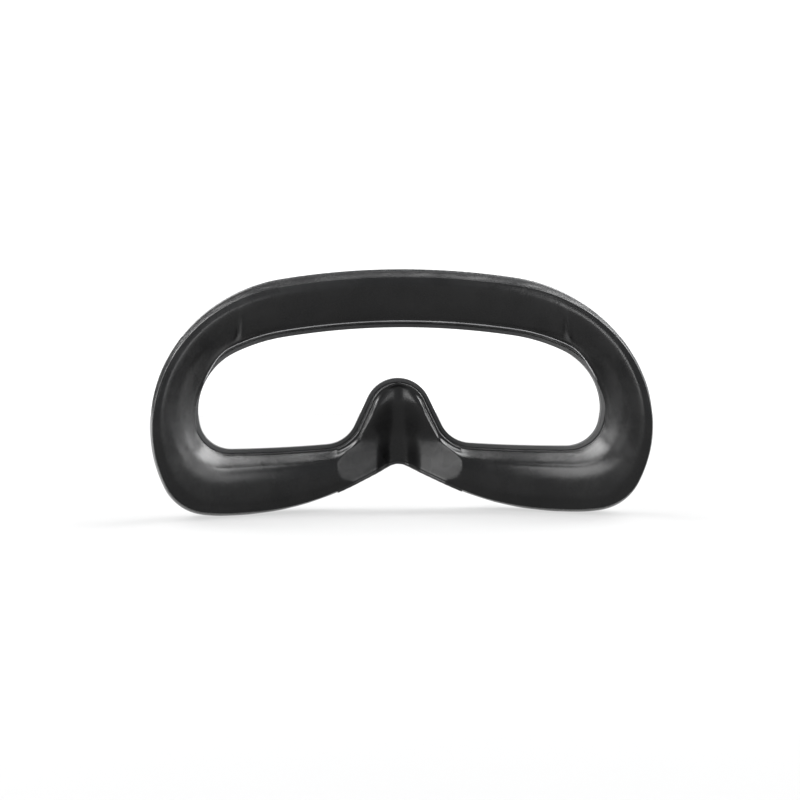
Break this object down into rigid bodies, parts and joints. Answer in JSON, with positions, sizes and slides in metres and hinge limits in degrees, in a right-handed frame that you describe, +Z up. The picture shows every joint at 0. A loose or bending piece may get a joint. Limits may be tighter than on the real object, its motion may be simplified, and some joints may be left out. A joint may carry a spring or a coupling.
{
  "type": "fpv goggles face pad",
  "caption": "Curved, leather-covered foam face pad with a nose flap, on a clip-on carrier frame that seals FPV goggles to the face.",
  "frame": {"origin": "bottom middle of the pad's box, on the surface that its cheeks stand on", "axes": "+X to the right when looking at the face side, -Y towards the face, +Y towards the goggles, +Z up"},
  "size_m": [0.166, 0.0546, 0.0825],
  "materials": {
    "carrier_plastic": "matt moulded black plastic",
    "hook_tape": "woven hook tape",
    "seal_foam": "soft closed-cell foam",
    "loop_fabric": "brushed loop fabric",
    "board": "stiff sheet plastic",
    "foam": "open-cell foam",
    "leather": "semi-gloss synthetic leather with a fine grain",
    "lining": "matt knitted lining",
    "welt_leather": "rolled synthetic leather edge",
    "flap_leather": "thin soft synthetic leather",
    "latch_plastic": "smooth springy plastic"
  },
  "bodies": {
    "carrier": {"carrier_frame": "carrier_plastic", "hook_patches": "hook_tape", "light_seal": "seal_foam"},
    "cushion": {"loop_backing": "loop_fabric", "backing_board": "board", "foam_core": "foam", "side_leather": "leather", "face_leather": "leather", "inner_lining": "lining", "outer_welt": "welt_leather", "nose_flap": "flap_leather", "nose_flap_liner": "lining", "nose_hem": "welt_leather"},
    "latch_upper_left": {"latch_upper_left": "latch_plastic"},
    "latch_upper_right": {"latch_upper_right": "latch_plastic"},
    "latch_lower_left": {"latch_lower_left": "latch_plastic"},
    "latch_lower_right": {"latch_lower_right": "latch_plastic"}
  },
  "joints": [
    {"name": "cushion_pull_off", "type": "slide", "parent": "carrier", "child": "cushion", "axis": [0, -1, 0], "range_m": [0, 0.03]},
    {"name": "latch_upper_left_flex", "type": "hinge", "parent": "carrier", "child": "latch_upper_left", "pos_m": [-0.03, 0.01905, 0.071], "axis": [-1, 0, 0], "range_deg": [0, 8], "stiffness_Nm_per_rad": 0.27},
    {"name": "latch_upper_right_flex", "type": "hinge", "parent": "carrier", "child": "latch_upper_right", "pos_m": [0.03, 0.01905, 0.071], "axis": [-1, 0, 0], "range_deg": [0, 8], "stiffness_Nm_per_rad": 0.27},
    {"name": "latch_lower_left_flex", "type": "hinge", "parent": "carrier", "child": "latch_lower_left", "pos_m": [-0.04, 0.01646, 0.011], "axis": [1, 0, 0], "range_deg": [0, 8], "stiffness_Nm_per_rad": 0.27},
    {"name": "latch_lower_right_flex", "type": "hinge", "parent": "carrier", "child": "latch_lower_right", "pos_m": [0.04, 0.01646, 0.011], "axis": [1, 0, 0], "range_deg": [0, 8], "stiffness_Nm_per_rad": 0.27}
  ]
}
